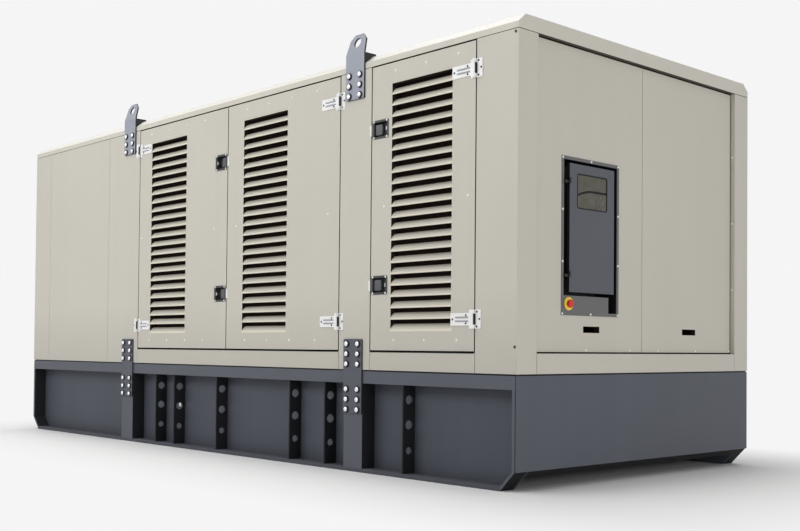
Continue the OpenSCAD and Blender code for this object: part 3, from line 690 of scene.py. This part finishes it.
def glass_line(tree, coordinates):
    """1 on a thin line across the window, level on one side and drooping by a square law on the other."""
    _, y, z = add(tree, "ShaderNodeSeparateXYZ", {0: coordinates.outputs["Object"]}).outputs
    centre = middle("control_window")
    aside = calc(tree, "MAXIMUM", calc(tree, "SUBTRACT", centre.y + LINE_ASIDE, y), 0.0)
    droop = calc(tree, "MULTIPLY", calc(tree, "MULTIPLY", aside, aside), LINE_DROOP)
    height = calc(tree, "ADD", calc(tree, "SUBTRACT", z, centre.z + LINE_UP), droop)
    return below(tree, calc(tree, "ABSOLUTE", height), LINE_R)


def knuckle_slot_shade(tree, coordinates):
    """Painted shade: 1 on a narrow strip along one flank of the knuckles that stand out of the straps, dark
    as a shaded slot.
    """
    x, y, _ = add(tree, "ShaderNodeSeparateXYZ", {0: coordinates.outputs["Object"]}).outputs
    proud = above(tree, calc(tree, "ABSOLUTE", y), SIDE_FACE + HINGE_T + KNUCKLE_PROUD)
    half_width = (BARREL_R - SLOT_FROM) / 2 + FACE_SKIN / 10
    strip = None
    for number, way in HINGE_WAYS:
        off = calc(tree, "SUBTRACT", x, hinge_axis(number, way) + (SLOT_FROM + BARREL_R) / 2)
        near = below(tree, calc(tree, "ABSOLUTE", off), half_width)
        strip = near if strip is None else calc(tree, "MAXIMUM", strip, near)
    return both(tree, proud, strip)


def coat(name, colour, roughness, cloud=0.03, cloud_scale=1.1, grain=0.03, grain_scale=140.0, streak=0.0,
         peel=0.03, peel_scale=380.0, edge=0.0, edge_radius=0.003, layers=(), **sockets):
    """A painted, plated or moulded finish.

    The colour goes from darker to lighter with broad cloud noise, fine grain noise and upright streaks.
    Edges are lighter by the share edge, a painted highlight found where the rounded normal leaves the face's
    own.
    Each layer, a mask with a colour and a roughness, lies over that. Roughness follows the grain, and the
    bump is a fine orange peel.
    """
    material = bpy.data.materials.new(name)
    material.use_nodes = True
    tree = material.node_tree
    shader = tree.nodes["Principled BSDF"]
    coordinates = tree.nodes.new("ShaderNodeTexCoord")
    place = coordinates.outputs["Object"]
    fine = noise(tree, place, grain_scale)
    total = cloud + grain + streak
    clouds = noise(tree, place, cloud_scale, BROAD_DETAIL)
    level = calc(tree, "ADD", calc(tree, "MULTIPLY", clouds, cloud / total),
                 calc(tree, "MULTIPLY", fine, grain / total))
    if streak:
        stretched = add(tree, "ShaderNodeMapping", {"Vector": place, "Scale": STREAK_STRETCH}).outputs[0]
        streaks = noise(tree, stretched, 1.0, BROAD_DETAIL)
        level = calc(tree, "ADD", level, calc(tree, "MULTIPLY", streaks, streak / total))
    level = spread(tree, level, LEVEL_LOW, LEVEL_HIGH, 0.0, 1.0)
    surface = blend_colours(tree, level, times(colour, 1 - total), times(colour, 1 + total))
    gloss = spread(tree, fine, GRAIN_LOW, GRAIN_HIGH, roughness - GLOSS_CHANGE, roughness + GLOSS_CHANGE)
    bump_inputs = {"Strength": peel, "Distance": PEEL_DEPTH, "Height": noise(tree, place, peel_scale)}
    if edge:
        rounded = add(tree, "ShaderNodeBevel", {"Radius": edge_radius}, samples=EDGE_SAMPLES).outputs[0]
        own = add(tree, "ShaderNodeNewGeometry").outputs["True Normal"]
        match = add(tree, "ShaderNodeVectorMath", {0: rounded, 1: own}, operation="DOT_PRODUCT")
        # Painted highlight: a lighter colour along rounded edges.
        edge_highlight_share = spread(tree, match.outputs["Value"], EDGE_START, EDGE_FULL, 0.0, 1.0)
        surface = blend_colours(tree, edge_highlight_share, surface, times(colour, 1 + edge))
        bump_inputs["Normal"] = rounded
    for mask, layer_colour, layer_roughness in layers:
        covered = mask(tree, coordinates)
        darker, lighter = times(layer_colour, 1 - LAYER_CHANGE), times(layer_colour, 1 + LAYER_CHANGE)
        surface = blend_colours(tree, covered, surface, blend_colours(tree, fine, darker, lighter))
        gloss = spread(tree, covered, 0.0, 1.0, gloss, layer_roughness)
    tree.links.new(surface, shader.inputs["Base Color"])
    tree.links.new(gloss, shader.inputs["Roughness"])
    tree.links.new(add(tree, "ShaderNodeBump", bump_inputs).outputs[0], shader.inputs["Normal"])
    for key, value in sockets.items():
        shader.inputs[key.replace("_", " ")].default_value = value
    return material


# Colours
CANOPY = linear(202, 198, 187)
# The near black below is the foam's own colour, and painted shade on the walls of gaps and of louvre linings.
FOAM_AND_SHADE_BLACK = linear(36, 27, 23)
SKID = linear(85, 88, 97)
# Painted shade: near black for faces in the skid's recesses and on the lugs' edges.
RECESS_SHADE_BLACK = linear(26, 27, 30)
ZINC = linear(244, 244, 243)

# Layers, each a mask with its colour and roughness
# Foam colour on the canopy's lining, and painted shade on the walls of the gaps between panels.
inside = (foam_lining_and_gap_shade, FOAM_AND_SHADE_BLACK, 0.95)
foot_shade = (toward_foot, linear(178, 174, 165), 0.5)
# Painted shade: faces of the canopy that look down are darkened.
canopy_underside_shade = (underside, linear(84, 80, 74), 0.7)
# Painted shade in the skid's inner corners, found by ambient occlusion.
skid_corner_shade = (corners, linear(46, 48, 54), 0.6)
# Painted shade: faces of the skid that look down are near black.
skid_underside_shade = (underside, linear(9, 9, 11), 0.7)
# Painted shade in the webs' inner corners, found by ambient occlusion.
web_corner_shade = (corners, linear(64, 67, 75), 0.6)
# Painted light: the roof's sloping bevel is lighter.
bevel_painted_light = (sloping, linear(230, 227, 218), 0.42)
glass_layers = ((glass_specks, linear(128, 126, 110), 0.1), (glass_line, linear(4, 4, 4), 0.2))


def blade_shade_and_highlight_layers(axis, along, face):
    """Painted shade towards the inner edges of blades, a painted highlight on their lips, and painted shade
    in black on the walls and ceiling of their lining.
    """
    return ((blade_depth_shade(axis, face), linear(158, 150, 133), 0.6),
            (facing(along), FOAM_AND_SHADE_BLACK, 0.9),
            (lining_top(axis, face), FOAM_AND_SHADE_BLACK, 0.9),
            inside,
            (lip_highlight(axis, face), linear(226, 219, 202), 0.45))


# Settings that several finishes share
CANOPY_COAT = {"cloud": 0.015, "grain": 0.015, "streak": 0.012, "Specular_IOR_Level": 0.35}
LOUVRE_COAT = {"cloud": 0.015, "grain": 0.02, "streak": 0.012, "edge": 0.3, "Specular_IOR_Level": 0.3}
SKID_COAT = {"cloud": 0.05, "grain": 0.05, "streak": 0.04, "edge": 0.35, "peel": 0.05,
             "Specular_IOR_Level": 0.3}
PLATE_COAT = {"cloud": 0.02, "cloud_scale": 14.0, "grain": 0.02, "edge": 0.04}

canopy_paint = coat("canopy_paint", CANOPY, 0.46, edge=0.08, layers=(foot_shade, canopy_underside_shade, inside),
                    **CANOPY_COAT)
# Painted light: the roof is a lighter copy of the canopy paint.
roof_lit_paint = coat("roof_lit_paint", linear(208, 204, 193), 0.46, edge=0.1,
                  layers=(bevel_painted_light, canopy_underside_shade, inside), **CANOPY_COAT)
louvre_paint = coat("louvre_paint", CANOPY, 0.5, layers=blade_shade_and_highlight_layers(1, 0, SIDE_FACE), **LOUVRE_COAT)
rear_louvre_paint = coat("rear_louvre_paint", CANOPY, 0.5, layers=blade_shade_and_highlight_layers(0, 1, END_FACE), **LOUVRE_COAT)
skid_paint = coat("skid_paint", SKID, 0.52, layers=(skid_corner_shade, skid_underside_shade), **SKID_COAT)
# Painted shade: faces of toes, posts and tie straps that face along X are near black, and so are faces that
# look down.
side_shaded_skid_paint = coat("side_shaded_skid_paint", SKID, 0.52, layers=((facing(0), RECESS_SHADE_BLACK, 0.6), skid_underside_shade),
                    **SKID_COAT)
# Painted shade: the webs are a darker copy of the skid paint, as they sit deep in their bays.
web_shaded_paint = coat("web_shaded_paint", linear(75, 79, 88), 0.55, cloud=0.06, grain=0.05, streak=0.05, peel=0.05,
                 layers=(web_corner_shade,), Specular_IOR_Level=0.25)
# Painted shade: the gussets are near black, as if in shadow.
gusset_shaded_paint = coat("gusset_shaded_paint", RECESS_SHADE_BLACK, 0.5, cloud=0.08, grain=0.08, edge=0.3,
                    Specular_IOR_Level=0.3)
# Painted shade on the lugs' edges that face along X and on faces that look down.
lug_paint = coat("lug_paint", linear(152, 156, 168), 0.4, cloud=0.04, grain=0.05, edge=0.2,
                 layers=((facing(0), RECESS_SHADE_BLACK, 0.5), (underside, RECESS_SHADE_BLACK, 0.5)), Metallic=0.1)
zinc_plate = coat("zinc_plate", ZINC, 0.34, **PLATE_COAT)
strap_plate = coat("strap_plate", ZINC, 0.34, layers=((knuckle_slot_shade, linear(18, 18, 20), 0.5),),
                   **PLATE_COAT)
lock_steel = coat("lock_steel", linear(176, 177, 181), 0.16, cloud=0.05, cloud_scale=30.0, grain=0.05,
                  Metallic=1.0)
# Painted shade: the nuts' washers and flanks are near black.
nut_shade_dark = coat("nut_shade_dark", linear(30, 31, 35), 0.4, cloud=0.06, cloud_scale=30.0)
cap_zinc = coat("cap_zinc", linear(240, 241, 243), 0.2, cloud=0.03, cloud_scale=30.0, Metallic=0.8)
# Painted shade: the pressed ribs are darker than the zinc they are pressed from.
rib_shade_grey = coat("rib_shade_grey", linear(158, 161, 166), 0.34, cloud=0.04, cloud_scale=30.0)
rivet_steel = coat("rivet_steel", linear(246, 246, 244), 0.3, cloud=0.03, cloud_scale=40.0, Metallic=0.1)
screw_black = coat("screw_black", linear(46, 46, 48), 0.4, cloud=0.08, cloud_scale=60.0, Metallic=0.4)
# Black for the plugs, hinges and stop neck, and painted shade on the lug brackets and the control tray.
black_paint = coat("black_paint", linear(22, 22, 25), 0.5, cloud=0.08, cloud_scale=6.0, grain=0.06, edge=0.3)
seal_rubber = coat("seal_rubber", linear(18, 18, 19), 0.8, cloud=0.1, cloud_scale=9.0, grain=0.08, peel=0.15)
foam_black = coat("foam_black", linear(34, 25, 21), 0.95, cloud=0.15, cloud_scale=30.0, grain=0.2,
                  grain_scale=500.0, peel=0.5, Specular_IOR_Level=0.1)
# Painted shade: the dish deeper than the door's face is near black. A strong painted highlight runs along the
# rim's edges.
latch_black = coat("latch_black", linear(52, 54, 54), 0.42, cloud=0.06, cloud_scale=20.0, edge=3.2,
                   edge_radius=0.0016, peel=0.08, layers=((under(1, SIDE_FACE), linear(8, 8, 9), 0.5),))
paddle_grey = coat("paddle_grey", linear(80, 81, 84), 0.45, cloud=0.05, cloud_scale=30.0, grain=0.05,
                   edge=0.25, edge_radius=0.002)
frame_steel = coat("frame_steel", linear(99, 98, 99), 0.45, cloud=0.04, cloud_scale=5.0, grain=0.04,
                   edge=0.5, edge_radius=0.002)
control_grey = coat("control_grey", linear(76, 79, 88), 0.45, cloud=0.035, cloud_scale=4.0, grain=0.04,
                    edge=0.9, layers=((panel_edge_shade, linear(14, 14, 17), 0.6),))
window_glass = coat("window_glass", linear(92, 91, 82), 0.08, cloud=0.2, cloud_scale=16.0, grain=0.03,
                    peel=0.004, layers=glass_layers, Specular_IOR_Level=0.12, Coat_Weight=0.12,
                    Coat_Roughness=0.03)
stop_yellow = coat("stop_yellow", linear(250, 214, 74), 0.4, cloud=0.03, cloud_scale=20.0, edge=0.1,
                   edge_radius=0.001)
stop_red = coat("stop_red", linear(214, 40, 32), 0.32, cloud=0.04, cloud_scale=30.0, grain=0.04)

NODE_FINISHES = (
    (canopy_paint, ("corner_posts", "lug_posts", "side_sills", "side_panels", "front_panels", "end_sills",
                    "rear_panels", "door_1", "door_2", "door_3", "doors_far")),
    (roof_lit_paint, ("roof",)),
    (louvre_paint, ("louvre_1", "louvre_2", "louvre_3", "louvres_far")),
    (rear_louvre_paint, ("rear_louvres",)),
    (skid_paint, ("skid_rails", "skid_feet", "skid_end_front", "skid_end_rear", "skid_cross_members",
                  "skid_deck")),
    (side_shaded_skid_paint, ("skid_toes", "skid_posts", "tie_straps")),
    (web_shaded_paint, ("skid_webs",)),
    (gusset_shaded_paint, ("skid_gussets",)),
    (lug_paint, ("lug_front_near", "lug_front_far", "lug_rear_near", "lug_rear_far")),
    (zinc_plate, ("hinge_leaves",)),
    (strap_plate, ("straps_1", "straps_2", "straps_3", "straps_far")),
    # The lug brackets and the control tray are black as painted shade; the control hinges are black parts.
    (black_paint, ("lug_brackets", "control_tray", "control_hinges", "control_knuckles")),
    (seal_rubber, ("canopy_seal",)),
    (latch_black, ("latches_1", "latches_3", "latches_far")),
    (frame_steel, ("control_frame",)),
    (control_grey, ("control_door",)),
    (window_glass, ("control_window",)),
    (stop_yellow, ("stop_collar",)),
    (stop_red, ("stop_button",)),
)
for finish, names in NODE_FINISHES:
    for node_name in names:
        nodes[node_name].data.materials.clear()
        nodes[node_name].data.materials.append(finish)

add_nuts(cap_zinc, nut_shade_dark)
add_rivets(rivet_steel)
add_hinge_details(screw_black, rib_shade_grey)
add_latches(latch_black, paddle_grey, rivet_steel, lock_steel)
add_foam(foam_black)
add_stop_button(stop_red, black_paint)
add_window_gasket(seal_rubber)
add_sill_shade_seals(seal_rubber)
add_plugs(black_paint, rivet_steel)


# Stage, light and camera

BACKGROUND = (0.915, 0.915, 0.915, 1.0)
WORLD_LEVEL = 0.34
FLOOR_REACH = 60.0
FLOOR_DARKER, FLOOR_LIGHTER = linear(247, 247, 247), linear(251, 251, 251)
FLOOR_CLOUDS, FLOOR_ROUGHNESS, FLOOR_SPECULAR = 0.7, 0.9, 0.1
FADE_SIDE, FADE_END, FADE_START = 1.1, 1.8, 0.1

# Each lamp's name, place, target, size and watts
LAMPS = (
    ("side_lamp", (-0.8, -8.5, 5.6), (0.0, -1.0, 1.4), (9.0, 4.0), 345.0),
    ("top_lamp", (-1.5, -0.5, 8.0), (0.0, -0.2, 0.0), (8.0, 4.0), 232.0),
    ("end_lamp", (11.0, -1.6, 1.5), (2.7, 0.0, 1.5), (4.0, 2.4), 202.0),
    ("far_lamp", (-2.0, 8.5, 5.5), (0.0, 1.0, 1.4), (9.0, 4.0), 220.0),
    ("rear_lamp", (-11.0, 1.0, 2.4), (-2.7, 0.0, 1.2), (4.0, 2.4), 175.0),
)

# The photograph's camera
CAMERA_PLACE = (6.253, -4.997, 0.6954)
HEADING, PITCH, ROLL = math.radians(-46.2531), math.radians(1.2697), math.radians(0.479)
SENSOR_W, LENS = 36.0, 49.613
SHIFT_X, SHIFT_Y = -0.04356, 0.07228
CLIP_NEAR, CLIP_FAR = 0.05, 300.0


def shown_rays(tree):
    """1 for the rays by which the background itself is seen, also in gloss and through glass."""
    path = add(tree, "ShaderNodeLightPath").outputs
    seen = calc(tree, "MAXIMUM", path["Is Camera Ray"], path["Is Glossy Ray"])
    return calc(tree, "MAXIMUM", seen, path["Is Transmission Ray"])


def floor_finish():
    """A pale matt finish that goes over to the background's colour with the distance from the object.

    The distance is the root of the sum of the squares beside the long sides and beyond the ends, each as a
    share of the way over which it fades.
    """
    material = bpy.data.materials.new("floor")
    material.use_nodes = True
    tree = material.node_tree
    shader = tree.nodes["Principled BSDF"]
    place = tree.nodes.new("ShaderNodeTexCoord").outputs["Object"]
    soft = noise(tree, place, FLOOR_CLOUDS, BROAD_DETAIL)
    tree.links.new(blend_colours(tree, soft, FLOOR_DARKER, FLOOR_LIGHTER), shader.inputs["Base Color"])
    shader.inputs["Roughness"].default_value = FLOOR_ROUGHNESS
    shader.inputs["Specular IOR Level"].default_value = FLOOR_SPECULAR
    x, y, _ = parts_of(tree, place)
    beside = spread(tree, y, SIDE_FACE, SIDE_FACE + FADE_SIDE, 0.0, 1.0)
    beyond = spread(tree, x, POST_END, POST_END + FADE_END, 0.0, 1.0)
    squares = calc(tree, "ADD", calc(tree, "MULTIPLY", beside, beside),
                   calc(tree, "MULTIPLY", beyond, beyond))
    far = spread(tree, calc(tree, "SQRT", squares), FADE_START, 1.0, 0.0, 1.0)
    faded = calc(tree, "MULTIPLY", far, shown_rays(tree))
    plain = add(tree, "ShaderNodeEmission", {"Color": BACKGROUND, "Strength": 1.0})
    mixed = add(tree, "ShaderNodeMixShader", {0: faded, 1: shader.outputs[0], 2: plain.outputs[0]})
    tree.links.new(mixed.outputs[0], tree.nodes["Material Output"].inputs["Surface"])
    return material


def make_floor():
    """A pale floor, one square, that keeps shadows near the object."""
    edges = np.array([-FLOOR_REACH, FLOOR_REACH])
    x, y = np.meshgrid(edges, edges)
    mesh = bpy.data.meshes.new("floor")
    mesh.from_pydata(np.stack([x.ravel(), y.ravel(), np.zeros(x.size)], axis=-1).tolist(), [], [(0, 1, 3, 2)])
    mesh.materials.append(floor_finish())
    floor = bpy.data.objects.new("floor", mesh)
    bpy.context.scene.collection.objects.link(floor)


def make_world():
    """Even light from all round, and a pale background where it is seen."""
    world = bpy.data.worlds.new("studio")
    world.use_nodes = True
    bpy.context.scene.world = world
    tree = world.node_tree
    light = tree.nodes["Background"]
    light.inputs["Color"].default_value = (1.0, 1.0, 1.0, 1.0)
    light.inputs["Strength"].default_value = WORLD_LEVEL
    seen = add(tree, "ShaderNodeBackground", {"Color": BACKGROUND, "Strength": 1.0})
    mixed = add(tree, "ShaderNodeMixShader", {0: shown_rays(tree), 1: light.outputs[0], 2: seen.outputs[0]})
    tree.links.new(mixed.outputs[0], tree.nodes["World Output"].inputs["Surface"])


def make_lamp(name, place, target, size, watts):
    """A large soft lamp that faces a target."""
    data = bpy.data.lights.new(name, "AREA")
    data.shape = "RECTANGLE"
    data.size, data.size_y = size
    data.energy = watts
    lamp = bpy.data.objects.new(name, data)
    lamp.location = place
    lamp.rotation_euler = (Vector(target) - Vector(place)).to_track_quat("-Z", "Y").to_euler()
    bpy.context.scene.collection.objects.link(lamp)


def make_camera():
    """The camera at the photograph's place, heading, pitch, roll and focal length."""
    ahead = math.cos(PITCH)
    forward = Vector((ahead * math.sin(HEADING), ahead * math.cos(HEADING), math.sin(PITCH)))
    level_right = Vector((math.cos(HEADING), -math.sin(HEADING), 0.0))
    level_up = level_right.cross(forward)
    right = level_right * math.cos(ROLL) + level_up * math.sin(ROLL)
    up = right.cross(forward)
    data = bpy.data.cameras.new("camera")
    data.sensor_width = SENSOR_W
    data.lens = LENS
    data.shift_x, data.shift_y = SHIFT_X, SHIFT_Y
    data.clip_start, data.clip_end = CLIP_NEAR, CLIP_FAR
    camera = bpy.data.objects.new("camera", data)
    camera.matrix_world = Matrix((right, up, -forward)).transposed().to_4x4()
    camera.location = CAMERA_PLACE
    bpy.context.scene.collection.objects.link(camera)
    bpy.context.scene.camera = camera


make_floor()
make_world()
for lamp_values in LAMPS:
    make_lamp(*lamp_values)
make_camera()

bpy.context.scene.view_settings.view_transform = "Standard"
bpy.context.view_layer.update()
